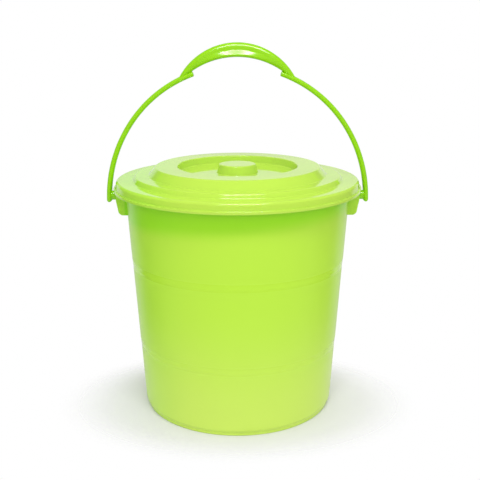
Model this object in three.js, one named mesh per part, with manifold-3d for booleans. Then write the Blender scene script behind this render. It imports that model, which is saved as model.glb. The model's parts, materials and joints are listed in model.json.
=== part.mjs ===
// A lidded plastic bucket with an upright carrying bail, in millimetres, +Z up.
// The floor is z = 0 and the bucket's axis is the Z axis. The bail turns about an axis along X.
import * as THREE from 'three';
import { mergeVertices } from 'three/addons/utils/BufferGeometryUtils.js';
import Module from 'manifold-3d';

const wasm = await Module();
wasm.setup();

// Bucket wall, floor and foot
const wallThickness = 2.0;
const floorThickness = 2.4;
const floorRadius = 118.3; // outer radius of the wall, carried down to z = 0
const mouthRadius = 136.4; // outer radius of the wall at the rim
const bucketHeight = 283.7; // floor to the top of the rim
const cornerRadius = 6.2; // outer round between the wall and the bottom
const footInset = 2.5; // how far the foot ring stands in from the wall
const footWidth = 2.6;
const footHeight = 3.0; // clearance under the bottom plate

// Turned rim
const rimReach = 8.0; // how far the rim stands out from the wall
const rimDrop = 6.5; // height of its turned-down edge
const rimThickness = 2.2;

// Shallow bands round the wall, where it steps in
const bandHeights = [185.5, 83.0]; // height of the middle of each band
const bandTall = 9.4;
const bandStep = 0.4; // how much the wall steps in at each band

// Lid
const lidThickness = 2.0;
const seatGap = 0.3; // between the rim and the lid that rests on it
const skirtPlay = 0.6; // between the rim's edge and the lid's skirt
const skirtHeight = 12.3; // outer ring's top to the bottom of the lip
const skirtDraft = 0.8; // how much wider the skirt is at its bottom
const lipReach = 2.2; // how far the lip stands out from the skirt
const lipTall = 3.4;
const outerRingWidth = 19.7; // flat ring inside the top of the skirt
const lowStepRise = 5.3;
const lowStepRun = 3.3;
const middleRingWidth = 16.0;
const highStepRise = 10.0;
const highStepRun = 8.5;
const topRingWidth = 26.7;
const recessDepth = 9.0;
const recessRun = 1.8; // how far the recess wall slopes in
const knobHeight = 11.0; // above the recess floor
const knobBaseRadius = 24.8;
const knobTopRadius = 22.0;

// Rounds on the lid, from its knob out to its lip
const knobTopRound = 1.6;
const knobFootRound = 1.2;
const recessFootRound = 2.0;
const recessEdgeRound = 1.5;
const topRingRound = 3.0;
const highStepFootRound = 1.5;
const middleRingRound = 1.6;
const lowStepFootRound = 1.0;
const skirtRound = 2.2;
const lipRound = 0.6;

// Ears on the bucket, which hold the bail
const earInset = 2.0; // how far the ear's face stands in from the lid's lip
const earGap = 1.4; // between the lid's lip and the top of the ear
const earHeight = 30.8;
const earWidth = 22.0;
const earLean = 2.4; // how far the face leans in below the peg
const earLeanHeight = 18.3; // height over which it leans, from the bottom
const earCorner = 6.0; // round at the bottom of the face
const earFaceThickness = 3.4;
const earSideThickness = 2.0;
const earRoofThickness = 1.8;

// Bail: strap, pegs and grip
const pivotDrop = 7.7; // top of the ear down to the bail's axis
const bossRadius = 5.6; // round spacer between the strap and the ear
const bossPlay = 0.4; // between the spacer and the ear's face
const strapStandoff = 5.7; // between the ear's face and the strap
const pegRadius = 3.9;
const pegClearance = 0.35; // between the peg and the hole in the ear
const pegHeadRadius = 5.5;
const pegHeadThickness = 2.6;
const pegHeadPlay = 0.5; // between the peg's head and the inside of the ear
const strapThickness = 6.4;
const strapHalfDepth = 6.3; // half the strap's width along Y
const strapRoundness = 2.4; // exponent of its rounded section
const strapEnd = 8.0; // how far the strap runs on below the bail's axis
const strapEndRound = 3.0;
const stopRound = 1.0; // round at the strap's ends beside the hand gap
const strapClearance = 1.8; // between the lid's lip and the strap, as radii
const flareAngle = 35; // degrees above the pivot over which the strap flares out
const gripLift = 24.0; // top of the grip above the strap's circle
const gripThickness = 17.0;
const gripHalfLength = 68.3;
const stopHalfGap = 50.7; // half the clear hand width between the strap's ends
const gripHalfDepth = 9.4;
const gripTailDepth = 5.0; // half depth where the grip runs out on the strap
const gripRoundness = 2.4;

// Facets
const turnedSegments = 64;
const filletSegments = 2;
const strapStations = 16;
const gripStations = 20;
const barSides = 14;
const roundingSteps = 3;
const roundSegments = 24;

const overlap = 0.6; // how deep pieces of one moulding run into each other before they are joined

// Solids and joins
function toSolid(geometry) {
  const bare = geometry.clone();
  bare.deleteAttribute('normal');
  bare.deleteAttribute('uv');
  const merged = mergeVertices(bare, 1e-4);
  const vertProperties = new Float32Array(merged.attributes.position.array);
  const triVerts = new Uint32Array(merged.index.array);
  return new wasm.Manifold(new wasm.Mesh({ numProp: 3, vertProperties, triVerts }));
}

function toGeometry(solid) {
  const mesh = solid.getMesh();
  const geometry = new THREE.BufferGeometry();
  geometry.setAttribute('position', new THREE.BufferAttribute(new Float32Array(mesh.vertProperties), 3));
  geometry.setIndex(Array.from(mesh.triVerts));
  return geometry;
}

// A corner is [radius, height, fillet]. Each fillet becomes a short arc tangent to both sides.
function roundCorners(corners) {
  const points = [];
  corners.forEach(([r, z, fillet], i) => {
    const here = new THREE.Vector2(r, z);
    if (!fillet || i === 0 || i === corners.length - 1) {
      points.push(here);
      return;
    }
    const before = new THREE.Vector2(corners[i - 1][0], corners[i - 1][1]).sub(here);
    const after = new THREE.Vector2(corners[i + 1][0], corners[i + 1][1]).sub(here);
    const room = 0.49 * Math.min(before.length(), after.length());
    const half = Math.acos(before.dot(after) / (before.length() * after.length())) / 2;
    const reach = Math.min(fillet / Math.tan(half), room);
    const radius = reach * Math.tan(half);
    const bisector = before.clone().normalize().add(after.clone().normalize()).normalize();
    const centre = here.clone().addScaledVector(bisector, radius / Math.sin(half));
    const start = here.clone().addScaledVector(before.normalize(), reach).sub(centre);
    const end = here.clone().addScaledVector(after.normalize(), reach).sub(centre);
    const turn = Math.atan2(start.cross(end), start.dot(end));
    for (let k = 0; k <= filletSegments; k += 1) {
      const step = start.clone().rotateAround(new THREE.Vector2(), (turn * k) / filletSegments);
      points.push(step.add(centre));
    }
  });
  return points;
}

// The same line of corners, moved to its right-hand side by a wall's thickness, for a lid's underside.
function offsetCorners(corners, thickness) {
  const normals = corners.slice(1).map(([r, z], i) => {
    const along = new THREE.Vector2(r - corners[i][0], z - corners[i][1]).normalize();
    return new THREE.Vector2(along.y, -along.x);
  });
  return corners.map(([r, z, fillet], i) => {
    const first = normals[Math.max(i - 1, 0)];
    const second = normals[Math.min(i, normals.length - 1)];
    const sum = first.clone().add(second);
    const shift = sum.multiplyScalar((2 * thickness) / sum.lengthSq());
    return [Math.max(r + shift.x, 0), z + shift.y, fillet];
  });
}

function turned(points) {
  const geometry = new THREE.LatheGeometry(points, turnedSegments);
  geometry.rotateX(Math.PI / 2);
  return geometry;
}

// A closed profile turned about Z. Walked anticlockwise in (radius, height), its faces point out.
function turnedSolid(points) {
  const anticlockwise = THREE.ShapeUtils.area(points) > 0;
  return toSolid(turned(anticlockwise ? points : [...points].reverse()));
}

// An outline in X and Z, extruded along Y and centred on Y = 0.
function plateAcross(shape, width, curveSegments) {
  const geometry = new THREE.ExtrudeGeometry(shape, { depth: width, bevelEnabled: false, curveSegments });
  geometry.translate(0, 0, -width / 2);
  geometry.rotateX(Math.PI / 2);
  return geometry;
}

function rodAlongX(radius, fromX, toX, z) {
  const geometry = new THREE.CylinderGeometry(radius, radius, toX - fromX, roundSegments);
  geometry.rotateZ(Math.PI / 2);
  geometry.translate((fromX + toX) / 2, 0, z);
  return geometry;
}

// Heights and radii that the bucket, lid and bail share
const wallSlope = (mouthRadius - floorRadius) / bucketHeight;
const rimRadius = mouthRadius + rimReach;
const lidPlateTop = bucketHeight + seatGap + lidThickness;
const lipBottom = lidPlateTop - skirtHeight;
const skirtRadius = rimRadius + skirtPlay + lidThickness;
const lipRadius = skirtRadius + skirtDraft + lipReach;
const earTop = lipBottom - earGap;
const earBottom = earTop - earHeight;
const earFace = lipRadius - earInset;
const pivotHeight = earTop - pivotDrop;
const bailInner = lipRadius + strapClearance;
const bailFlare = earFace + strapStandoff - bailInner;

function wallRadius(z) {
  return floorRadius + wallSlope * z;
}

// The wall's outer line with its bands, from the corner up to the rim.
function bandedWall(fromZ, toZ) {
  const bands = [...bandHeights].sort((a, b) => a - b);
  const middle = (bands.length * bandStep) / 2;
  const corners = [];
  let shift = -middle;
  corners.push([wallRadius(fromZ) + shift, fromZ, 0]);
  for (const height of bands) {
    const low = height - bandTall / 2;
    const high = height + bandTall / 2;
    const below = wallRadius(low) + shift;
    const above = wallRadius(high) + shift + bandStep;
    const face = (below + above) / 2;
    corners.push([below, low, 0], [face, low, 0], [face, high, 0], [above, high, 0]);
    shift += bandStep;
  }
  corners.push([wallRadius(toZ) + shift, toZ, 0]);
  return corners;
}

// One moulding: bottom, foot ring, tapered wall, turned rim and two hollow ears.
function bucketBody() {
  const footRadius = floorRadius - footInset;
  const cornerTop = footHeight + cornerRadius;
  const rimUnder = bucketHeight - rimThickness;
  const wall = bandedWall(cornerTop, rimUnder);
  const cornerCentre = wall[0][0] - cornerRadius;
  const footMeets = Math.asin(Math.min((footRadius - cornerCentre) / cornerRadius, 1));
  const corner = [];
  const cornerSteps = 5;
  for (let k = 0; k < cornerSteps; k += 1) {
    const angle = footMeets + ((Math.PI / 2 - footMeets) * k) / cornerSteps;
    corner.push([cornerCentre + cornerRadius * Math.sin(angle), cornerTop - cornerRadius * Math.cos(angle), 0]);
  }
  const outside = [
    [0, footHeight, 0],
    [footRadius - footWidth, footHeight, 0],
    [footRadius - footWidth, 0, 0],
    [footRadius, 0, 0],
    ...corner,
    ...wall,
    [rimRadius - rimThickness, rimUnder, 0],
    [rimRadius - rimThickness, bucketHeight - rimDrop, 0],
    [rimRadius, bucketHeight - rimDrop, 0],
    [rimRadius, bucketHeight, rimThickness / 2],
  ];
  const insideFloor = footHeight + floorThickness;
  const inside = [
    [wallRadius(bucketHeight) - wallThickness, bucketHeight, rimThickness / 2],
    [wallRadius(insideFloor) - wallThickness, insideFloor, cornerRadius - wallThickness],
    [0, insideFloor, 0],
  ];
  const shell = turnedSolid(roundCorners([...outside, ...inside]));
  return [1, -1].reduce((body, side) => body.add(ear(side)), shell);
}

// A box-shaped lug, open at the bottom, with a round hole for the bail's peg in its face.
function ear(side) {
  const insideWall = wallRadius(earBottom) - wallThickness / 2;
  const outline = new THREE.Shape();
  const leanFrom = earBottom + earLeanHeight;
  const cornerX = earFace - earLean - earCorner;
  outline.moveTo(0, earBottom);
  outline.lineTo(cornerX, earBottom);
  outline.absarc(cornerX, earBottom + earCorner, earCorner, -Math.PI / 2, 0, false);
  outline.lineTo(earFace, leanFrom);
  outline.lineTo(earFace, earTop);
  outline.lineTo(0, earTop);
  outline.closePath();
  const lug = toSolid(plateAcross(outline, earWidth, roundSegments / 4));
  const hollow = new THREE.BoxGeometry(earFace - earFaceThickness, earWidth - 2 * earSideThickness, earHeight);
  hollow.translate((earFace - earFaceThickness) / 2, 0, earTop - earRoofThickness - earHeight / 2);
  const hole = rodAlongX(pegRadius + pegClearance, insideWall, earFace + overlap, pivotHeight);
  const core = [
    [0, earBottom - overlap, 0],
    [wallRadius(earBottom - overlap) - wallThickness / 2, earBottom - overlap, 0],
    [wallRadius(earTop + overlap) - wallThickness / 2, earTop + overlap, 0],
    [0, earTop + overlap, 0],
  ];
  const solid = lug.subtract(toSolid(hollow)).subtract(toSolid(hole)).subtract(turnedSolid(roundCorners(core)));
  return side > 0 ? solid : solid.rotate([0, 0, 180]);
}

// One moulding: skirt with a lip, three rings that step up, a sunk middle and a hollow knob.
function lid() {
  const ringInner = skirtRadius - outerRingWidth;
  const middleTop = lidPlateTop + lowStepRise;
  const middleOuter = ringInner - lowStepRun;
  const middleInner = middleOuter - middleRingWidth;
  const crown = middleTop + highStepRise;
  const crownOuter = middleInner - highStepRun;
  const recessEdge = crownOuter - topRingWidth;
  const recessFloor = crown - recessDepth;
  const lipTop = lipBottom + lipTall;
  const skirtFoot = skirtRadius + skirtDraft;
  const plate = [
    [0, recessFloor + knobHeight, 0],
    [knobTopRadius, recessFloor + knobHeight, knobTopRound],
    [knobBaseRadius, recessFloor, knobFootRound],
    [recessEdge - recessRun, recessFloor, recessFootRound],
    [recessEdge, crown, recessEdgeRound],
    [crownOuter, crown, topRingRound],
    [middleInner, middleTop, highStepFootRound],
    [middleOuter, middleTop, middleRingRound],
    [ringInner, lidPlateTop, lowStepFootRound],
    [skirtRadius, lidPlateTop, skirtRound],
    [skirtFoot, lipTop, 0],
  ];
  const under = offsetCorners(plate, lidThickness).map(([r, z]) => [r, z, 0]);
  under[under.length - 1] = [skirtFoot - lidThickness, lipBottom, 0];
  const lip = [
    [skirtFoot, lipTop, lipRound],
    [lipRadius, lipTop, lipRound],
    [lipRadius, lipBottom, lipRound],
  ];
  return turnedSolid(roundCorners([...plate.slice(0, -1), ...lip, ...under.reverse()]));
}

// Height of a circle that passes over the middle at `top` and goes through (x, z).
function archHeight(top, x, z) {
  const centre = (top * top - x * x - z * z) / (2 * (top - z));
  const radius = top - centre;
  return (at) => centre + Math.sqrt(radius * radius - at * at);
}

// Radius of the strap's inner face at an angle above the pivot, wider towards the pivot.
function strapRadius(angle) {
  const share = Math.max(1 - angle / THREE.MathUtils.degToRad(flareAngle), 0);
  return bailInner + bailFlare * share * share;
}

// A bar with an oval section through a list of stations. A station has its middle in X and Z, the
// heading in which the bar leaves it, and half its thickness and depth there.
function shapedBar(stations, roundness) {
  const bar = new THREE.CylinderGeometry(1, 1, 1, barSides, stations.length - 1);
  const spots = bar.attributes.position;
  const oval = (value) => Math.sign(value) * Math.abs(value) ** (2 / roundness);
  for (let i = 0; i < spots.count; i += 1) {
    const station = stations[Math.round((0.5 - spots.getY(i)) * (stations.length - 1))];
    const atRim = Math.hypot(spots.getX(i), spots.getZ(i)) > 0.5;
    const angle = Math.atan2(spots.getZ(i), spots.getX(i));
    const across = atRim ? station.half * oval(Math.sin(angle)) : 0;
    const depth = atRim ? station.depth * oval(Math.cos(angle)) : 0;
    const x = station.x - across * Math.sin(station.heading);
    spots.setXYZ(i, x, depth, station.z + across * Math.cos(station.heading));
  }
  return bar;
}

// One side of the strap, from its rounded end below the pivot up to the stop beside the hand gap.
function strapPath() {
  const middle = bailInner + strapThickness / 2;
  const start = -strapEnd / middle;
  const stop = Math.acos(stopHalfGap / bailInner);
  const station = (angle, inset) => {
    const radius = strapRadius(angle) + strapThickness / 2;
    return {
      x: radius * Math.cos(angle),
      z: radius * Math.sin(angle),
      heading: angle + Math.PI / 2,
      half: strapThickness / 2 - inset,
      depth: strapHalfDepth - inset,
    };
  };
  const rounding = (round, share) => {
    const turn = (share * Math.PI) / 2;
    return { along: (round * (1 - Math.cos(turn))) / middle, inset: round * (1 - Math.sin(turn)) };
  };
  const list = [];
  for (let k = 0; k < roundingSteps; k += 1) {
    const { along, inset } = rounding(strapEndRound, k / roundingSteps);
    list.push(station(start + along, inset));
  }
  const from = start + strapEndRound / middle;
  const to = stop - stopRound / middle;
  for (let k = 0; k <= strapStations; k += 1) {
    list.push(station(from + ((to - from) * k) / strapStations, 0));
  }
  const { along, inset } = rounding(stopRound, 0.4);
  list.push(station(stop - along, inset));
  return list;
}

// The grip is a crescent whose lower face rises from the stops and whose tails run out on the strap.
function gripPath() {
  const bailOuter = bailInner + strapThickness;
  const gripRise = bailOuter + gripLift;
  const stopX = stopHalfGap * (bailOuter / bailInner);
  const strapTopAt = (x) => Math.sqrt(bailOuter * bailOuter - x * x);
  const over = archHeight(gripRise, gripHalfLength, strapTopAt(gripHalfLength));
  const under = archHeight(gripRise - gripThickness, stopX, strapTopAt(stopX));
  const lowerAt = (x) => {
    const past = Math.max(x - stopX, 0) / (gripHalfLength - stopX);
    const radius = bailOuter - (strapThickness / 2) * Math.min(past * 2, 1);
    return past > 0 ? Math.sqrt(radius * radius - x * x) : under(x);
  };
  return Array.from({ length: gripStations + 1 }, (_, k) => {
    const x = gripHalfLength * ((2 * k) / gripStations - 1);
    const top = over(x);
    const bottom = lowerAt(Math.abs(x));
    const bulge = 1 - (x / gripHalfLength) ** 2;
    const depth = gripTailDepth + (gripHalfDepth - gripTailDepth) * bulge;
    return { x, z: (top + bottom) / 2, heading: 0, half: (top - bottom) / 2, depth };
  });
}

// One moulding: strap, grip, and a headed peg at each end that turns in the ear's hole.
function bailHandle() {
  const strapMiddle = strapRadius(0) + strapThickness / 2;
  const bossEnd = earFace + bossPlay;
  const pegEnd = earFace - earFaceThickness - pegHeadPlay;
  const right = toSolid(shapedBar(strapPath(), strapRoundness))
    .add(toSolid(rodAlongX(bossRadius, bossEnd, strapMiddle, 0)))
    .add(toSolid(rodAlongX(pegRadius, pegEnd - overlap, bossEnd + overlap, 0)))
    .add(toSolid(rodAlongX(pegHeadRadius, pegEnd - pegHeadThickness, pegEnd, 0)));
  return right.add(right.rotate([0, 0, 180])).add(toSolid(shapedBar(gripPath(), gripRoundness)));
}

// Materials: glossy polypropylene, the bail a deeper green than the bucket and lid
const bucketGreen = new THREE.MeshStandardMaterial({ color: 0xb4ea48, roughness: 0.25, metalness: 0 });
const lidGreen = new THREE.MeshStandardMaterial({ color: 0xc4f060, roughness: 0.25, metalness: 0 });
const bailGreen = new THREE.MeshStandardMaterial({ color: 0x8ed41e, roughness: 0.3, metalness: 0 });

function piece(name, solid, material) {
  const mesh = new THREE.Mesh(toGeometry(solid), material);
  mesh.name = name;
  return mesh;
}

const bail = piece('bail_handle', bailHandle(), bailGreen);
bail.position.z = pivotHeight;

const group = new THREE.Group();
group.add(piece('bucket_body', bucketBody(), bucketGreen));
group.add(piece('lid', lid(), lidGreen));
group.add(bail);

export default group;
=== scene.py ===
import json
import math
from functools import partial
import bmesh
import bpy
from mathutils import Matrix, Vector


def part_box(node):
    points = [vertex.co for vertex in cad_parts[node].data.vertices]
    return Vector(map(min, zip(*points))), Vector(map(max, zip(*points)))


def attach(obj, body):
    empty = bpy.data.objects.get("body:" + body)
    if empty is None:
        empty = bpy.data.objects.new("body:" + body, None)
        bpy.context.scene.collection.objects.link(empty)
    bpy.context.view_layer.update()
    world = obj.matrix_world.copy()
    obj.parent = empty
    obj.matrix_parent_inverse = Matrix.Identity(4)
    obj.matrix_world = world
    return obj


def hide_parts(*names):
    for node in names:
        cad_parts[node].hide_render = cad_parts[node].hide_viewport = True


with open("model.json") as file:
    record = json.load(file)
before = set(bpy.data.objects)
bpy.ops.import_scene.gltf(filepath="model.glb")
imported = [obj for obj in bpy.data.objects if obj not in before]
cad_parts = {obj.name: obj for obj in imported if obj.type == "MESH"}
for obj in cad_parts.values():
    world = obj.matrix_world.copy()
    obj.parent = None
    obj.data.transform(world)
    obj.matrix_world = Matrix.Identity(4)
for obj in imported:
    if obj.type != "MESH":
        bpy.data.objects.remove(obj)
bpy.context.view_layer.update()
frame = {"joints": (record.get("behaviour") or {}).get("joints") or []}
scene = bpy.context.scene
mm = 0.001

# taken from the CAD frame, in millimetres: the bail's pivot, the lid's lip and the bucket's rim
joints = {joint["name"]: joint for joint in frame["joints"]}
pivotHeight = joints["bail_swing"]["pos_m"][2] / mm
lidLow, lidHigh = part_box("lid")
lipRadius, lipBottom = lidHigh.x / mm, lidLow.z / mm
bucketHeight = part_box("bucket_body")[1].z / mm


# a corner is (radius, height, round); each round becomes an arc tangent to both sides
def roundedLine(corners, steps=8):
    points = []
    for i, (r, z, size) in enumerate(corners):
        here = Vector((r, z))
        if not size or i in (0, len(corners) - 1):
            points.append(here)
            continue
        back = Vector(corners[i - 1][:2]) - here
        ahead = Vector(corners[i + 1][:2]) - here
        half = back.angle(ahead) / 2
        reach = min(size / math.tan(half), 0.49 * min(back.length, ahead.length))
        back, ahead = back.normalized(), ahead.normalized()
        centre = here + (back + ahead).normalized() * (reach / math.cos(half))
        start, end = here + back * reach - centre, here + ahead * reach - centre
        turn = math.atan2(start.cross(end), start.dot(end))
        points += [centre + Matrix.Rotation(turn * k / steps, 2) @ start for k in range(steps + 1)]
    return points


# long straight runs get more rings, and a close one at each end so that the shading stays flat
def evenRings(points, most, close=0.25):
    spread = [points[0]]
    for here in points[1:]:
        last = spread[-1]
        run = (here - last).length
        pieces = max(1, math.ceil(run / most))
        shares = [k / pieces for k in range(1, pieces + 1)]
        if run > 4 * close:
            shares = sorted({close / run, *shares, 1 - close / run})
        spread += [last + (here - last) * share for share in shares]
    return spread


def meshObject(name, bm):
    mesh = bpy.data.meshes.new(name)
    bmesh.ops.recalc_face_normals(bm, faces=bm.faces)
    bm.to_mesh(mesh)
    bm.free()
    obj = bpy.data.objects.new(name, mesh)
    scene.collection.objects.link(obj)
    return obj


# closed profile from the axis, out and back to the axis, turned about Z
def turnedPiece(name, points, around):
    bm = bmesh.new()
    angles = [2 * math.pi * k / around for k in range(around)]
    rings = []
    for r, z in points:
        if r < 1e-6:
            rings.append([bm.verts.new((0, 0, z * mm))])
            continue
        spots = [(r * mm * math.cos(a), r * mm * math.sin(a), z * mm) for a in angles]
        rings.append([bm.verts.new(spot) for spot in spots])
    for low, high in zip(rings, rings[1:]):
        for k in range(around):
            n = (k + 1) % around
            corners = [low[k % len(low)], low[n % len(low)], high[n % len(high)], high[k % len(high)]]
            face = list(dict.fromkeys(corners))
            if len(face) > 2:
                bm.faces.new(face)
    return meshObject(name, bm)


# the same along X at the bail's pivot: points are (radius, x)
def rodAlongX(name, points, around):
    rod = turnedPiece(name, points, around)
    for vert in rod.data.vertices:
        x, y, h = vert.co
        vert.co = (h, y, pivotHeight * mm - x)
    return rod


# depth of a section that leans back between two levels, as a share of its full depth
def pearDepth(level, roundness, cut, low, high):
    down = max((low - level) / (1 + low), 0)
    up = max((level - high) / (1 - high), 0)
    slope = 1 - cut * min(max((level - low) / (high - low), 0), 1)
    return slope * (1 - min(max(down, up), 1) ** roundness) ** (1 / roundness)


# a station is (x, z, heading, half thickness, half depth) of a rounded oval section, and may
# go on with the share of a pear section and its cut and levels
def shapedBar(name, stations, around, roundness):
    bm = bmesh.new()
    rings = []
    for x, z, heading, half, depth, *pear in stations:
        ring = []
        for k in range(around):
            a = 2 * math.pi * k / around
            level = math.copysign(abs(math.sin(a)) ** (2 / roundness), math.sin(a))
            deep = math.copysign(abs(math.cos(a)) ** (2 / roundness), math.cos(a)) * depth
            if pear:
                share, *measures = pear
                leaning = math.copysign(pearDepth(level, roundness, *measures) * depth, deep)
                deep = (1 - share) * deep + share * leaning
            across = level * half
            spot = (x - across * math.sin(heading), deep, z + across * math.cos(heading))
            ring.append(bm.verts.new([v * mm for v in spot]))
        rings.append(ring)
    for low, high in zip(rings, rings[1:]):
        for k in range(around):
            n = (k + 1) % around
            bm.faces.new((low[k], low[n], high[n], high[k]))
    bm.faces.new(list(reversed(rings[0])))
    bm.faces.new(rings[-1])
    return meshObject(name, bm)


# a copy turned half round the bucket's axis
def mirrored(obj, name):
    twin = obj.copy()
    twin.data = obj.data.copy()
    twin.name = name
    scene.collection.objects.link(twin)
    for vert in twin.data.vertices:
        vert.co = (-vert.co.x, -vert.co.y, vert.co.z)
    return twin


def combine(base, *others, operation="UNION"):
    for other in others:
        modifier = base.modifiers.new(other.name, "BOOLEAN")
        modifier.operation = operation
        modifier.solver = "EXACT"
        modifier.object = other
    bpy.context.view_layer.update()
    shaped = base.evaluated_get(bpy.context.evaluated_depsgraph_get())
    shape = bpy.data.meshes.new_from_object(shaped)
    base.modifiers.clear()
    base.data = shape
    for other in others:
        bpy.data.objects.remove(other)


def finishPiece(obj, material, sharp):
    obj.data.materials.clear()
    obj.data.materials.append(material)
    obj.data.shade_smooth()
    obj.data.set_sharp_from_angle(angle=math.radians(sharp))
    triangles = sum(len(face.vertices) - 2 for face in obj.data.polygons)
    print(obj.name, "ready,", triangles, "triangles")


# a socket takes a value or a link
def put(links, socket, value):
    if isinstance(value, bpy.types.NodeSocket):
        links.new(value, socket)
    else:
        socket.default_value = value


# adds a node with its inputs in order and gives its first output
def wire(nodes, links, kind, operation, *values):
    node = nodes.new(kind)
    node.operation = operation
    for socket, value in zip(node.inputs, values):
        put(links, socket, value)
    return node.outputs[0]


# a value that runs smoothly from 0 to 1 between two limits
def ramp(nodes, links, value, low, high):
    node = nodes.new("ShaderNodeMapRange")
    node.interpolation_type = "SMOOTHSTEP"
    put(links, node.inputs["From Min"], low)
    put(links, node.inputs["From Max"], high)
    put(links, node.inputs["Value"], value)
    return node.outputs["Result"]


# where a mix node has its two values and its result
mixSockets = {"FLOAT": (2, 3, 0), "RGBA": (6, 7, 2)}


# a blend of two values or colours, by a share between 0 and 1
def chosen(nodes, links, share, whenOn, whenOff, kind="FLOAT"):
    node = nodes.new("ShaderNodeMix")
    node.data_type = kind
    off, on, result = mixSockets[kind]
    put(links, node.inputs["Factor"], share)
    put(links, node.inputs[off], whenOff)
    put(links, node.inputs[on], whenOn)
    return node.outputs[result]


def noise(nodes, links, vector, scale, detail, roughness=0.5):
    node = nodes.new("ShaderNodeTexNoise")
    put(links, node.inputs["Vector"], vector)
    put(links, node.inputs["Scale"], scale)
    put(links, node.inputs["Detail"], detail)
    put(links, node.inputs["Roughness"], roughness)
    return node.outputs["Fac"]


def lengthOf(nodes, links, vector):
    node = nodes.new("ShaderNodeVectorMath")
    node.operation = "LENGTH"
    put(links, node.inputs[0], vector)
    return node.outputs["Value"]


def splitUp(nodes, links, vector):
    node = nodes.new("ShaderNodeSeparateXYZ")
    put(links, node.inputs["Vector"], vector)
    return node.outputs


def newGroup(name, inputs, outputs):
    group = bpy.data.node_groups.new(name, "ShaderNodeTree")
    for label, kind, value in inputs:
        socket = group.interface.new_socket(label, in_out="INPUT", socket_type=kind)
        if value is not None:
            socket.default_value = value
    for label, kind in outputs:
        group.interface.new_socket(label, in_out="OUTPUT", socket_type=kind)
    nodes = group.nodes
    given, end = nodes.new("NodeGroupInput").outputs, nodes.new("NodeGroupOutput").inputs
    return group, nodes, group.links, given, end


# where the drift, the painted lid shadow, the painted flank shade and the painted floor bounce start and
# end, in metres, and how the drift looks
tintAndLightPlaces = {
    "cloudSquash": (1, 1, 0.35),
    "cloudDetail": 4,
    "cloudRoughness": 0.55,
    "rimLean": -0.07,
    "rimEdge": (-0.012, 0.010),
    "flankEdge": (-0.05, -0.125),
    "footEdge": (0.170, 0.0),
}


# pigment that drifts slowly, with a painted shadow of the lid deepening the wall under it, painted shade
# deepening the left flank, and painted bounce light from the floor making it paler at the foot
def tintAndPaintedLight():
    group, nodes, links, given, end = newGroup(
        "Tint and painted light",
        [
            ("Color", "NodeSocketColor", None),
            ("Drift And Shadow Color", "NodeSocketColor", None),
            ("Cloud Scale", "NodeSocketFloat", 9.0),
            ("Cloud Amount", "NodeSocketFloat", 0.05),
            ("Painted Lid Shadow", "NodeSocketFloat", 0.0),
            ("Rim Height", "NodeSocketFloat", 0.25),
            ("Rim Radius", "NodeSocketFloat", 0.138),
            ("Painted Flank Shade", "NodeSocketFloat", 0.0),
            ("Painted Bounce Color", "NodeSocketColor", None),
            ("Painted Bounce Amount", "NodeSocketFloat", 0.0),
        ],
        [("Color", "NodeSocketColor")],
    )
    maths = partial(wire, nodes, links, "ShaderNodeMath")
    scaled = partial(wire, nodes, links, "ShaderNodeVectorMath", "MULTIPLY")
    place = nodes.new("ShaderNodeTexCoord").outputs["Object"]
    x, y, z = splitUp(nodes, links, place)
    squashed = scaled(place, tintAndLightPlaces["cloudSquash"])
    fineness = tintAndLightPlaces["cloudDetail"], tintAndLightPlaces["cloudRoughness"]
    cloud = noise(nodes, links, squashed, given["Cloud Scale"], *fineness)
    # share of the deeper colour: random drift here, painted shadow and painted shade added below
    deep = maths("MULTIPLY", cloud, given["Cloud Amount"])
    # the painted lid shadow keeps off the ears, which stand outside the rim's radius
    fromAxis = lengthOf(nodes, links, scaled(place, (1, 1, 0)))
    inside = maths("LESS_THAN", fromAxis, given["Rim Radius"])
    # painted shadow of the lid on the wall under its rim, reaching lower on the left as if lit from the
    # right
    leaning = maths("MULTIPLY_ADD", x, tintAndLightPlaces["rimLean"], z)
    over = maths("SUBTRACT", leaning, given["Rim Height"])
    rim = maths("MULTIPLY", ramp(nodes, links, over, *tintAndLightPlaces["rimEdge"]), inside)
    deep = maths("MULTIPLY_ADD", rim, given["Painted Lid Shadow"], deep)
    # painted shade on the left flank, deeper green towards the left edge
    flank = ramp(nodes, links, x, *tintAndLightPlaces["flankEdge"])
    deep = maths("MULTIPLY_ADD", flank, given["Painted Flank Shade"], deep)
    # painted bounce light from the floor: paler colour towards the foot
    low = ramp(nodes, links, z, *tintAndLightPlaces["footEdge"])
    low = maths("MULTIPLY", low, given["Painted Bounce Amount"])
    pale = chosen(nodes, links, low, given["Painted Bounce Color"], given["Color"], "RGBA")
    links.new(chosen(nodes, links, deep, given["Drift And Shadow Color"], pale, "RGBA"), end["Color"])
    return group


# the haze in the gloss, and the streaks: their turn, their scale and the strength that shows
glossMarks = {
    "hazeScale": 30,
    "hazeDetail": 3,
    "streakTurn": (0.4, 0.2, 0.9),
    "streakScale": (420, 30, 30),
    "streakDetail": 2,
    "streakEdge": (0.66, 0.74),
}


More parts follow.
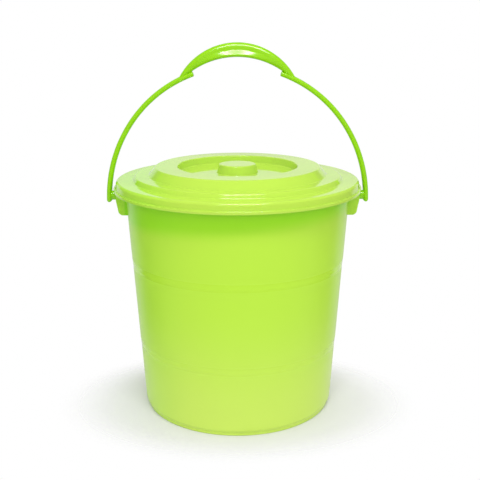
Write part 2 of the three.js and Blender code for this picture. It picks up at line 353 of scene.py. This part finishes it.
# gloss that varies a little, with fine handling scratches in it and two polished bands
def mouldedGloss():
    group, nodes, links, given, end = newGroup(
        "Moulded gloss",
        [
            ("Roughness", "NodeSocketFloat", 0.2),
            ("Variation", "NodeSocketFloat", 0.08),
            ("Scratches", "NodeSocketFloat", 0.1),
            ("Low Band", "NodeSocketFloat", 0.0),
            ("High Band", "NodeSocketFloat", 0.0),
            ("Band Half Height", "NodeSocketFloat", 0.0),
            ("Band Roughness", "NodeSocketFloat", 0.05),
        ],
        [("Roughness", "NodeSocketFloat")],
    )
    maths = partial(wire, nodes, links, "ShaderNodeMath")
    place = nodes.new("ShaderNodeTexCoord").outputs["Object"]
    haze = noise(nodes, links, place, glossMarks["hazeScale"], glossMarks["hazeDetail"])
    rough = maths("MULTIPLY_ADD", haze, given["Variation"], given["Roughness"])
    # long thin streaks across the piece, of which only the strongest show
    turned = nodes.new("ShaderNodeMapping")
    turned.inputs["Rotation"].default_value = glossMarks["streakTurn"]
    turned.inputs["Scale"].default_value = glossMarks["streakScale"]
    links.new(place, turned.inputs["Vector"])
    lines = nodes.new("ShaderNodeValToRGB")
    for element, position in zip(lines.color_ramp.elements, glossMarks["streakEdge"]):
        element.position = position
    streaks = noise(nodes, links, turned.outputs["Vector"], 1, glossMarks["streakDetail"])
    links.new(streaks, lines.inputs["Fac"])
    rough = maths("MULTIPLY_ADD", lines.outputs["Color"], given["Scratches"], rough)
    height = splitUp(nodes, links, place)["Z"]
    labels = ("Low Band", "High Band")
    bands = [maths("COMPARE", height, given[label], given["Band Half Height"]) for label in labels]
    band = maths("MAXIMUM", *bands)
    links.new(chosen(nodes, links, band, given["Band Roughness"], rough), end["Roughness"])
    return group


# heights in metres
surfaceMarks = {
    "rippleHeight": 0.0006,
    "rippleDetail": 1,
    "grainHeight": 0.00005,
    "grainScale": 600,
    "grainDetail": 2,
}


# slight ripple of thin moulded walls, with the fine grain of the mould steel
def mouldedSurface():
    group, nodes, links, given, end = newGroup(
        "Moulded surface",
        [
            ("Ripple", "NodeSocketFloat", 0.2),
            ("Ripple Scale", "NodeSocketFloat", 25.0),
            ("Grain", "NodeSocketFloat", 0.02),
        ],
        [("Normal", "NodeSocketVector")],
    )
    place = nodes.new("ShaderNodeTexCoord").outputs["Object"]
    ripple = nodes.new("ShaderNodeBump")
    ripple.inputs["Distance"].default_value = surfaceMarks["rippleHeight"]
    waves = noise(nodes, links, place, given["Ripple Scale"], surfaceMarks["rippleDetail"])
    links.new(waves, ripple.inputs["Height"])
    links.new(given["Ripple"], ripple.inputs["Strength"])
    grain = nodes.new("ShaderNodeBump")
    grain.inputs["Distance"].default_value = surfaceMarks["grainHeight"]
    specks = noise(nodes, links, place, surfaceMarks["grainScale"], surfaceMarks["grainDetail"])
    links.new(specks, grain.inputs["Height"])
    links.new(given["Grain"], grain.inputs["Strength"])
    links.new(ripple.outputs["Normal"], grain.inputs["Normal"])
    links.new(grain.outputs["Normal"], end["Normal"])
    return group


tintAndLightGroup = tintAndPaintedLight()
glossGroup = mouldedGloss()
surfaceGroup = mouldedSurface()
print("node groups ready")


# what a plastic has unless its piece says otherwise
plainLook = {
    "cloudAmount": 0.05,
    "paintedLidShadow": 0.0,
    "paintedFlankShade": 0.0,
    "paintedBounceAmount": 0.0,
    "scratches": 0.012,
    "lowBand": 0.0,
    "highBand": 0.0,
    "bandHalfHeight": 0.0,
    "grain": 0.003,
}


def groupNode(nodes, group, values):
    node = nodes.new("ShaderNodeGroup")
    node.node_tree = group
    for label, value in values.items():
        node.inputs[label].default_value = value
    return node.outputs


def plastic(name, look):
    look = {"paintedBounceColor": look["color"], **plainLook, **look}
    material = bpy.data.materials.new(name)
    material.use_nodes = True
    nodes, links = material.node_tree.nodes, material.node_tree.links
    shader = nodes["Principled BSDF"]
    shader.inputs["IOR"].default_value = look["ior"]
    tint = {
        "Color": (*look["color"], 1),
        "Drift And Shadow Color": (*look["driftAndShadowColor"], 1),
        "Cloud Scale": look["cloudScale"],
        "Cloud Amount": look["cloudAmount"],
        "Painted Lid Shadow": look["paintedLidShadow"],
        "Painted Flank Shade": look["paintedFlankShade"],
        "Painted Bounce Color": (*look["paintedBounceColor"], 1),
        "Painted Bounce Amount": look["paintedBounceAmount"],
    }
    gloss = {
        "Roughness": look["roughness"],
        "Variation": look["glossVariation"],
        "Scratches": look["scratches"],
        "Low Band": look["lowBand"],
        "High Band": look["highBand"],
        "Band Half Height": look["bandHalfHeight"],
    }
    surface = {
        "Ripple": look["ripple"],
        "Ripple Scale": look["rippleScale"],
        "Grain": look["grain"],
    }
    links.new(groupNode(nodes, tintAndLightGroup, tint)["Color"], shader.inputs["Base Color"])
    links.new(groupNode(nodes, glossGroup, gloss)["Roughness"], shader.inputs["Roughness"])
    links.new(groupNode(nodes, surfaceGroup, surface)["Normal"], shader.inputs["Normal"])
    return material


# the bucket: wall with two bands, foot ring, rim and two hollow ears
bucket = {
    "around": 256,
    "ringRun": 9.0,
    "sharpAngle": 32,
    "wall": 2.0,
    "floorRadius": 118.3,
    "mouthRadius": 136.4,
    "corner": 6.2,
    "cornerSteps": 10,
    "footInset": 2.5,
    "footWidth": 2.6,
    "footHeight": 3.0,
    "footRound": 0.7,
    "footInnerRound": 0.6,
    "floorThickness": 2.4,
    "rimReach": 8.0,
    "rimDrop": 6.5,
    "rimThickness": 2.2,
    "rimRound": 1.1,
    "rimEdgeRound": 0.7,
    "rimInnerRound": 0.8,
    "rimFillet": 1.5,
    "bands": (83.0, 185.5),
    "bandTall": 9.4,
    "bandStep": 0.4,
    "bandDepth": 0.1,
    "bandRound": 0.8,
    "bandMiddle": 1.5,
    "bandLean": 0.15,
    "bandSoftness": 4.0,
    "look": {
        "color": (0.495, 0.810, 0.050),
        # deeper green for the drift, the painted lid shadow and the painted flank shade
        "driftAndShadowColor": (0.330, 0.795, 0.002),
        # painted shadow of the lid on the wall under it
        "paintedLidShadow": 0.85,
        # painted shade on the left flank
        "paintedFlankShade": 0.30,
        # paler green near the foot, painted bounce light from the floor
        "paintedBounceColor": (0.58, 0.79, 0.110),
        "paintedBounceAmount": 1.0,
        "cloudScale": 9.0,
        "roughness": 0.28,
        "glossVariation": 0.03,
        "ripple": 0.03,
        "rippleScale": 14.0,
        "ior": 1.45,
    },
}
bucket["look"]["lowBand"], bucket["look"]["highBand"] = [height * mm for height in bucket["bands"]]
bucket["look"]["bandHalfHeight"] = bucket["bandTall"] / 2 * mm
ear = {
    "face": lipRadius - 2.0,
    "inner": 128.0,
    "top": lipBottom - 1.4,
    "height": 30.8,
    "width": 22.0,
    "lean": 2.4,
    "leanHeight": 18.3,
    "corner": 6.0,
    "cornerSteps": 10,
    "faceThickness": 3.4,
    "sideThickness": 2.0,
    "roofThickness": 1.8,
    "openBelow": 3.0,
    "hole": 4.25,
    "holeFrom": 130.0,
    "holeTo": 160.0,
    "holeAround": 48,
    "edgeRound": 1.2,
    "edgeSteps": 4,
    "sharpAngle": 30,
    "cutFrom": 230.0,
    "cutTo": 280.0,
    "cutDepth": 1.0,
    "cutAround": 96,
}


def wallRadius(z):
    return bucket["floorRadius"] + (bucket["mouthRadius"] - bucket["floorRadius"]) * z / bucketHeight


# the wall's outside, a small step wider above each band
def wallOutside(bottom, top):
    b = bucket
    shift = -b["bandStep"]
    wall = [(wallRadius(bottom) + shift, bottom, 0)]
    for height in b["bands"]:
        low, high = height - b["bandTall"] / 2, height + b["bandTall"] / 2
        below, above = wallRadius(low) + shift, wallRadius(high) + shift
        sunk = above - b["bandDepth"]
        wall += [
            (below, low, b["bandRound"]),
            (sunk, height - b["bandMiddle"], b["bandSoftness"]),
            (sunk + b["bandLean"], height + b["bandMiddle"], b["bandSoftness"]),
            (above + b["bandStep"], high, b["bandRound"]),
        ]
        shift += b["bandStep"]
    return wall + [(wallRadius(top) + shift, top, b["rimFillet"])]


def bucketProfile():
    b = bucket
    cornerTop = b["footHeight"] + b["corner"]
    rimUnder = bucketHeight - b["rimThickness"]
    rimBottom = bucketHeight - b["rimDrop"]
    wall = wallOutside(cornerTop, rimUnder)
    footRadius = b["floorRadius"] - b["footInset"]
    footInner = footRadius - b["footWidth"]
    centre = wall[0][0] - b["corner"]
    meets = math.asin(min((footRadius - centre) / b["corner"], 1))
    corner = []
    for k in range(b["cornerSteps"]):
        a = meets + (math.pi / 2 - meets) * k / b["cornerSteps"]
        corner.append((centre + b["corner"] * math.sin(a), cornerTop - b["corner"] * math.cos(a), 0))
    rim = b["mouthRadius"] + b["rimReach"]
    rimInner = rim - b["rimThickness"]
    floorTop = b["footHeight"] + b["floorThickness"]
    return [
        (0, b["footHeight"], 0),
        (footInner, b["footHeight"], b["footInnerRound"]),
        (footInner, 0, b["footRound"]),
        (footRadius, 0, b["footRound"]),
        *corner,
        *wall,
        (rimInner, rimUnder, b["rimInnerRound"]),
        (rimInner, rimBottom, b["rimEdgeRound"]),
        (rim, rimBottom, b["rimEdgeRound"]),
        (rim, bucketHeight, b["rimRound"]),
        (b["mouthRadius"] - b["wall"], bucketHeight, b["rimRound"]),
        (wallRadius(floorTop) - b["wall"], floorTop, b["corner"] - b["wall"]),
        (0, floorTop, 0),
    ]


# a side outline in X and Z, made as thick as twice the half width, its outer edges rounded
def slab(name, corners, half, edgeRound=0):
    bm = bmesh.new()
    near = [bm.verts.new((x * mm, -half * mm, z * mm)) for x, z in corners]
    far = [bm.verts.new((x * mm, half * mm, z * mm)) for x, z in corners]
    bm.faces.new(near)
    bm.faces.new(list(reversed(far)))
    for k in range(len(corners)):
        n = (k + 1) % len(corners)
        bm.faces.new((near[n], near[k], far[k], far[n]))
    if edgeRound:
        limit = math.radians(ear["sharpAngle"])
        outer = ear["holeFrom"] * mm
        sharp = [edge for edge in bm.edges if edge.calc_face_angle(0) > limit]
        edges = [edge for edge in sharp if max(vert.co.x for vert in edge.verts) > outer]
        bmesh.ops.bevel(
            bm, geom=edges, offset=edgeRound * mm, segments=ear["edgeSteps"], affect="EDGES", profile=0.5
        )
    return meshObject(name, bm)


# hollow box lug, open below, cut to the wall that it stands on
def earLug():
    e = ear
    bottom, face, top = e["top"] - e["height"], e["face"], e["top"]
    size = e["corner"]
    bend = (face - e["lean"] - size, bottom + size)
    corners = [(e["inner"], bottom)]
    for k in range(e["cornerSteps"] + 1):
        a = math.pi / 2 * (k / e["cornerSteps"] - 1)
        corners.append((bend[0] + size * math.cos(a), bend[1] + size * math.sin(a)))
    corners += [(face, bottom + e["leanHeight"]), (face, top), (e["inner"], top)]
    lug = slab("Ear", corners, e["width"] / 2, e["edgeRound"])
    low, high, out = bottom - e["openBelow"], top - e["roofThickness"], face - e["faceThickness"]
    corners = [(e["inner"], low), (out, low), (out, high), (e["inner"], high)]
    hollow = slab("EarHollow", corners, e["width"] / 2 - e["sideThickness"])
    line = [(0, e["holeFrom"]), (e["hole"], e["holeFrom"]), (e["hole"], e["holeTo"]), (0, e["holeTo"])]
    combine(lug, hollow, rodAlongX("EarHole", line, e["holeAround"]), operation="DIFFERENCE")
    low, high = e["cutFrom"], e["cutTo"]
    inLow, inHigh = wallRadius(low) - e["cutDepth"], wallRadius(high) - e["cutDepth"]
    line = [(0, low), (inLow, low), (inHigh, high), (0, high)]
    core = turnedPiece("EarCore", line, e["cutAround"])
    combine(lug, core, operation="DIFFERENCE")
    return lug


bucketLook = plastic("bucketPlastic", bucket["look"])
bucketRings = evenRings(roundedLine(bucketProfile()), bucket["ringRun"])
bucketBody = turnedPiece("Bucket", bucketRings, bucket["around"])
rightEar = earLug()
leftEar = mirrored(rightEar, "EarLeft")
combine(bucketBody, rightEar)
combine(bucketBody, leftEar)
finishPiece(bucketBody, bucketLook, bucket["sharpAngle"])
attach(bucketBody, "bucket")
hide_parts("bucket_body")


# the lid: stepped plate with a sunk middle and a knob
lidShape = {
    "around": 256,
    "ringRun": 8.0,
    "sharpAngle": 32,
    "thickness": 2.0,
    "skirtHeight": 12.3,
    "skirtDraft": 0.8,
    "skirtRound": 3.4,
    "lipReach": 2.2,
    "lipTall": 3.4,
    "lipRound": 0.6,
    "outerRing": 19.7,
    "lowRise": 5.3,
    "lowRun": 3.3,
    "lowFootRound": 1.6,
    "middleRing": 16.0,
    "middleRound": 2.4,
    "highRise": 10.0,
    "highRun": 8.5,
    "highFootRound": 2.2,
    "topRing": 26.7,
    "crownRound": 3.0,
    "recessDepth": 9.0,
    "recessRun": 1.8,
    "recessRound": 1.5,
    "recessFootRound": 2.0,
    "knobHeight": 11.0,
    "knobBase": 24.8,
    "knobTop": 22.0,
    "knobRound": 1.6,
    "knobFootRound": 1.2,
    "underRoundShare": 0.6,
    "underEdgeRound": 0.4,
    "look": {
        "color": (0.485, 0.725, 0.080),
        # deeper green for the drift and the painted flank shade
        "driftAndShadowColor": (0.33, 0.82, 0.012),
        # painted shade on the lid's left flank
        "paintedFlankShade": 0.36,
        "cloudScale": 7.0,
        "roughness": 0.05,
        "glossVariation": 0.02,
        "ripple": 0.02,
        "rippleScale": 12.0,
        "ior": 1.50,
    },
}


def lidTop():
    s = lidShape
    skirt = lipRadius - s["lipReach"] - s["skirtDraft"]
    plateTop = lipBottom + s["skirtHeight"]
    ring = skirt - s["outerRing"]
    middle, middleTop = ring - s["lowRun"], plateTop + s["lowRise"]
    middleInner = middle - s["middleRing"]
    crown, crownTop = middleInner - s["highRun"], middleTop + s["highRise"]
    recess, recessFloor = crown - s["topRing"], crownTop - s["recessDepth"]
    knobTop = recessFloor + s["knobHeight"]
    return [
        (0, knobTop, 0),
        (s["knobTop"], knobTop, s["knobRound"]),
        (s["knobBase"], recessFloor, s["knobFootRound"]),
        (recess - s["recessRun"], recessFloor, s["recessFootRound"]),
        (recess, crownTop, s["recessRound"]),
        (crown, crownTop, s["crownRound"]),
        (middleInner, middleTop, s["highFootRound"]),
        (middle, middleTop, s["middleRound"]),
        (ring, plateTop, s["lowFootRound"]),
        (skirt, plateTop, s["skirtRound"]),
        (skirt + s["skirtDraft"], lipBottom + s["lipTall"], s["lipRound"]),
    ]


# the underside follows the top at the plate's thickness, from the axis to the skirt's lower edge
def lidUnder(top):
    s = lidShape
    under = []
    for i, (r, z, size) in enumerate(top):
        here = Vector((r, z))
        before = here - Vector(top[i - 1][:2]) if i else Vector((1, 0))
        after = Vector(top[i + 1][:2]) - here if i + 1 < len(top) else before
        inward = [Vector((run.y, -run.x)).normalized() for run in (before, after)]
        total = inward[0] + inward[1]
        shift = total * (2 * s["thickness"] / total.length_squared)
        under.append((max(r + shift.x, 0), z + shift.y, size * s["underRoundShare"]))
    under[0] = (0, under[0][1], 0)
    under[-1] = (top[-1][0] - s["thickness"], lipBottom, s["underEdgeRound"])
    return under


def lidProfile():
    top = lidTop()
    edge = lidShape["lipRound"]
    lip = [(lipRadius, lipBottom + lidShape["lipTall"], edge), (lipRadius, lipBottom, edge)]
    return top + lip + list(reversed(lidUnder(top)))


lidLook = plastic("lidPlastic", lidShape["look"])
lidRings = evenRings(roundedLine(lidProfile()), lidShape["ringRun"])
lidPiece = turnedPiece("Lid", lidRings, lidShape["around"])
finishPiece(lidPiece, lidLook, lidShape["sharpAngle"])
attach(lidPiece, "bucket")
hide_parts("lid")


# the bail: strap, grip and pegs in one moulding
handle = {
    "thickness": 6.4,
    "halfDepth": 6.3,
    "roundness": 2.4,
    "end": 8.0,
    "endRound": 3.0,
    "endSteps": 12,
    "stopRound": 1.2,
    "stopSteps": 6,
    "clearance": 1.8,
    "flareAngle": 35,
    "standoff": 5.7,
    "bossRadius": 5.6,
    "bossPlay": 0.4,
    "bossRound": 0.5,
    "bossFillet": 1.0,
    "bossSpread": 1.2,
    "bossSink": (0.4, 1.4),
    "pegRadius": 3.9,
    "pegAround": 64,
    "pegSteps": 5,
    "pegRound": 0.2,
    "headRadius": 5.5,
    "headThickness": 2.6,
    "headPlay": 0.5,
    "headRounds": (0.5, 0.3),
    "gripRise": 182.2,
    "gripThickness": 17.0,
    "gripHalfLength": 68.3,
    "stopHalfGap": 50.7,
    "gripHalfDepth": 9.4,
    "gripTailDepth": 5.0,
    "shoulder": (-0.60, 0.04),
    "shoulderCut": 0.35,
    "shoulderHalfLength": 46.0,
    "stations": 140,
    "strapAround": 48,
    "gripAround": 96,
    "sharpAngle": 38,
    "look": {
        "color": (0.285, 0.645, 0.004),
        "driftAndShadowColor": (0.21, 0.56, 0.002),
        "cloudScale": 14.0,
        "roughness": 0.14,
        "glossVariation": 0.08,
        "ripple": 0.02,
        "rippleScale": 40.0,
        "ior": 1.50,
    },
}
bailInner = lipRadius + handle["clearance"]
bailOuter = bailInner + handle["thickness"]
bailFlare = ear["face"] + handle["standoff"] - bailInner


# one half of the strap, from its rounded end below the pivot to the stop under the grip
def strapStations():
    h = handle
    middle = bailInner + h["thickness"] / 2
    start, stop = -h["end"] / middle, math.acos(h["stopHalfGap"] / bailInner)

    def station(angle, inset):
        share = max(1 - angle / math.radians(h["flareAngle"]), 0)
        radius = middle + bailFlare * share * share
        spot = (radius * math.cos(angle), pivotHeight + radius * math.sin(angle))
        return (*spot, angle + math.pi / 2, h["thickness"] / 2 - inset, h["halfDepth"] - inset)

    def rounding(size, share):
        turn = share * math.pi / 2
        return size * (1 - math.cos(turn)) / middle, size * (1 - math.sin(turn))

    stations = []
    for k in range(1, h["endSteps"]):
        along, inset = rounding(h["endRound"], k / h["endSteps"])
        stations.append(station(start + along, inset))
    first, last = start + h["endRound"] / middle, stop - h["stopRound"] / middle
    for k in range(h["stations"] + 1):
        stations.append(station(first + (last - first) * k / h["stations"], 0))
    for k in range(h["stopSteps"] - 1, 0, -1):
        along, inset = rounding(h["stopRound"], k / h["stopSteps"])
        stations.append(station(stop - along, inset))
    return stations


# an arch with its top on the axis that starts on a circle round the pivot
def archHeight(top, x, radius):
    centre = (top * top - radius * radius) / (2 * (top - math.sqrt(radius * radius - x * x)))
    return lambda at: centre + math.sqrt((top - centre) ** 2 - at * at)


def gripStations():
    h = handle
    stopX = h["stopHalfGap"] * bailOuter / bailInner
    over = archHeight(h["gripRise"], h["gripHalfLength"], bailOuter)
    under = archHeight(h["gripRise"] - h["gripThickness"], stopX, bailOuter)
    stations = []
    for k in range(h["stations"] + 1):
        x = h["gripHalfLength"] * math.sin(math.pi / 2 * (2 * k / h["stations"] - 1))
        # past the stops the grip's underside sinks to the middle of the strap
        past = max(abs(x) - stopX, 0) / (h["gripHalfLength"] - stopX)
        radius = bailOuter - h["thickness"] / 2 * min(past * 2, 1)
        bottom = math.sqrt(radius ** 2 - x * x) if past > 0 else under(x)
        bulge = 1 - (x / h["gripHalfLength"]) ** 2
        depth = h["gripTailDepth"] + (h["gripHalfDepth"] - h["gripTailDepth"]) * bulge
        share = max(1 - (x / h["shoulderHalfLength"]) ** 2, 0)
        middle = (pivotHeight + (over(x) + bottom) / 2, 0, (over(x) - bottom) / 2)
        stations.append((x, *middle, depth, share, h["shoulderCut"], *h["shoulder"]))
    return stations


# from the head inside the ear, along the peg, to the boss sunk in the strap
def pegProfile():
    h = handle
    face = ear["face"] + h["bossPlay"]
    strapFace = bailInner + bailFlare
    strapMiddle = strapFace + h["thickness"] / 2
    headEnd = ear["face"] - ear["faceThickness"] - h["headPlay"]
    headTop = headEnd - h["headThickness"]
    outerRound, innerRound = h["headRounds"]
    near, deep = h["bossSink"]
    return [
        (0, headTop, 0),
        (h["headRadius"], headTop, outerRound),
        (h["headRadius"], headEnd, innerRound),
        (h["pegRadius"], headEnd, h["pegRound"]),
        (h["pegRadius"], face, h["pegRound"]),
        (h["bossRadius"], face, h["bossRound"]),
        (h["bossRadius"], strapFace + near, h["bossFillet"]),
        (h["bossRadius"] + h["bossSpread"], strapFace + deep, 0),
        (h["bossRadius"] - near, strapMiddle, 0),
        (0, strapMiddle, 0),
    ]


bailLook = plastic("bailPlastic", handle["look"])
strap = shapedBar("Bail", strapStations(), handle["strapAround"], handle["roundness"])
combine(strap, rodAlongX("Peg", roundedLine(pegProfile(), handle["pegSteps"]), handle["pegAround"]))
otherStrap = mirrored(strap, "BailLeft")
grip = shapedBar("Grip", gripStations(), handle["gripAround"], handle["roundness"])
combine(strap, otherStrap)
combine(strap, grip)
finishPiece(strap, bailLook, handle["sharpAngle"])
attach(strap, "bail")
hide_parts("bail_handle")


# floor, world, lamps and camera, in metres
studio = {
    "floorRadius": 0.42,
    "floorDrop": 0.0002,
    "floorAround": 128,
    "floorColor": (0.800, 0.782, 0.832),
    "floorGlow": 0.05,
    "floorFade": 0.13,
    "shadowReach": (0.235, 0.165),
    "shadowAside": -0.018,
    "shadowEdge": (0.62, 1.0),
    "worldDiffuse": 0.75,
    "worldDark": 0.17,
    "worldBright": 0.84,
    "worldFront": 0.30,
    "cardTilt": -0.45,
    "cardEdge": (0.66, 0.80),
    "cardFoot": (-0.55, -0.35),
    "frontEdge": (0.15, -0.15),
    "frontTop": (-0.10, -0.30),
    "lamps": {
        "keyBox": {
            "place": (0.105, -0.87, 1.59),
            "target": (0, -0.12, 0.29),
            "size": (0.80, 0.29),
            "power": 10.2,
        },
        "shineStrip": {
            "place": (0.105, -0.865, 1.58),
            "target": (0, -0.12, 0.29),
            "size": (1.05, 0.20),
            "power": 11,
            "diffuse": False,
        },
        "backBox": {
            "place": (0, 0.65, 1.85),
            "target": (0, 0, 0.3),
            "size": (0.9, 0.4),
            "power": 4,
            "glossy": False,
        },
        "frontFill": {
            "place": (0.25, -2.2, 1.0),
            "target": (0, 0, 0.2),
            "size": (2.0, 1.4),
            "power": 10,
            "glossy": False,
        },
    },
    "cameraDistance": 1.0002,
    "cameraHeight": 0.4737,
    "cameraAside": 0.0029,
    "pitch": 14.923,
    "roll": -0.15,
    "lens": 62.365,
    "sensor": 36,
}


# to the camera the floor fades out round its shadow, and in reflections far from the bucket
def floorMaterial():
    material = bpy.data.materials.new("floorPaint")
    material.use_nodes = True
    nodes, links = material.node_tree.nodes, material.node_tree.links
    maths = partial(wire, nodes, links, "ShaderNodeMath")
    paint = nodes["Principled BSDF"]
    paint.inputs["Base Color"].default_value = (*studio["floorColor"], 1)
    paint.inputs["Roughness"].default_value = 1
    paint.inputs["Specular IOR Level"].default_value = 0
    paint.inputs["Emission Color"].default_value = (1, 1, 1, 1)
    path = nodes.new("ShaderNodeLightPath").outputs
    place = nodes.new("ShaderNodeTexCoord").outputs["Object"]
    wide, deep = studio["shadowReach"]
    spread = nodes.new("ShaderNodeMapping")
    spread.inputs["Location"].default_value = (0, -studio["shadowAside"] / deep, 0)
    spread.inputs["Scale"].default_value = (1 / wide, 1 / deep, 1)
    links.new(place, spread.inputs["Vector"])
    fromShadow = lengthOf(nodes, links, spread.outputs["Vector"])
    edge = ramp(nodes, links, fromShadow, *studio["shadowEdge"])
    fromBucket = lengthOf(nodes, links, place)
    far = ramp(nodes, links, fromBucket, studio["floorFade"], studio["floorRadius"])
    faded = maths("MULTIPLY", far, path["Is Glossy Ray"])
    hidden = maths("MULTIPLY_ADD", edge, path["Is Camera Ray"], faded)
    links.new(maths("SUBTRACT", 1.0, hidden), paint.inputs["Alpha"])
    # painted glow: near the bucket the floor glows, in reflections only, to brighten the lower wall's
    # reflection of the floor
    glow = maths("MULTIPLY", maths("SUBTRACT", 1.0, far), studio["floorGlow"])
    links.new(maths("MULTIPLY", glow, path["Is Glossy Ray"]), paint.inputs["Emission Strength"])
    return material


# white to the camera; in reflections bright behind the bucket, dimmer low in front, dark elsewhere
def studioWorld():
    world = bpy.data.worlds.new("Studio")
    world.use_nodes = True
    nodes, links = world.node_tree.nodes, world.node_tree.links
    maths = partial(wire, nodes, links, "ShaderNodeMath")
    path = nodes.new("ShaderNodeLightPath").outputs
    backdrop = nodes["Background"]
    backdrop.inputs["Color"].default_value = (1, 1, 1, 1)
    x, y, z = splitUp(nodes, links, nodes.new("ShaderNodeTexCoord").outputs["Generated"])
    tilted = maths("MULTIPLY_ADD", z, studio["cardTilt"], y)
    behind = ramp(nodes, links, tilted, *studio["cardEdge"])
    card = maths("MULTIPLY", behind, ramp(nodes, links, z, *studio["cardFoot"]))
    step = studio["worldBright"] - studio["worldDark"]
    shine = maths("MULTIPLY_ADD", card, step, studio["worldDark"])
    front = ramp(nodes, links, y, *studio["frontEdge"])
    table = maths("MULTIPLY", front, ramp(nodes, links, z, *studio["frontTop"]))
    shine = maths("MULTIPLY_ADD", table, studio["worldFront"], shine)
    indirect = chosen(nodes, links, path["Is Glossy Ray"], shine, studio["worldDiffuse"])
    strength = chosen(nodes, links, path["Is Camera Ray"], 1.0, indirect)
    links.new(strength, backdrop.inputs["Strength"])
    return world


def softbox(name, place, target, size, power, glossy=True, diffuse=True):
    light = bpy.data.lights.new(name, "AREA")
    light.shape = "RECTANGLE"
    light.size, light.size_y = size
    light.energy = power
    lamp = bpy.data.objects.new(name, light)
    scene.collection.objects.link(lamp)
    lamp.location = place
    lamp.rotation_euler = (Vector(target) - Vector(place)).to_track_quat("-Z", "Y").to_euler()
    lamp.visible_glossy = glossy
    lamp.visible_diffuse = diffuse


bm = bmesh.new()
bmesh.ops.create_circle(bm, cap_ends=True, segments=studio["floorAround"], radius=studio["floorRadius"])
floor = meshObject("Floor", bm)
floor.location.z = -studio["floorDrop"]
floor.data.materials.append(floorMaterial())

scene.world = studioWorld()
for name, lamp in studio["lamps"].items():
    softbox(name, **lamp)

cameraData = bpy.data.cameras.new("Camera")
cameraData.lens = studio["lens"]
cameraData.sensor_width = studio["sensor"]
camera = bpy.data.objects.new("Camera", cameraData)
scene.collection.objects.link(camera)
camera.location = (studio["cameraAside"], -studio["cameraDistance"], studio["cameraHeight"])
camera.rotation_euler = (math.radians(90 - studio["pitch"]), 0, 0)
camera.rotation_euler.rotate_axis("Z", math.radians(studio["roll"]))
scene.camera = camera
scene.view_settings.view_transform = "Standard"
print("studio ready")
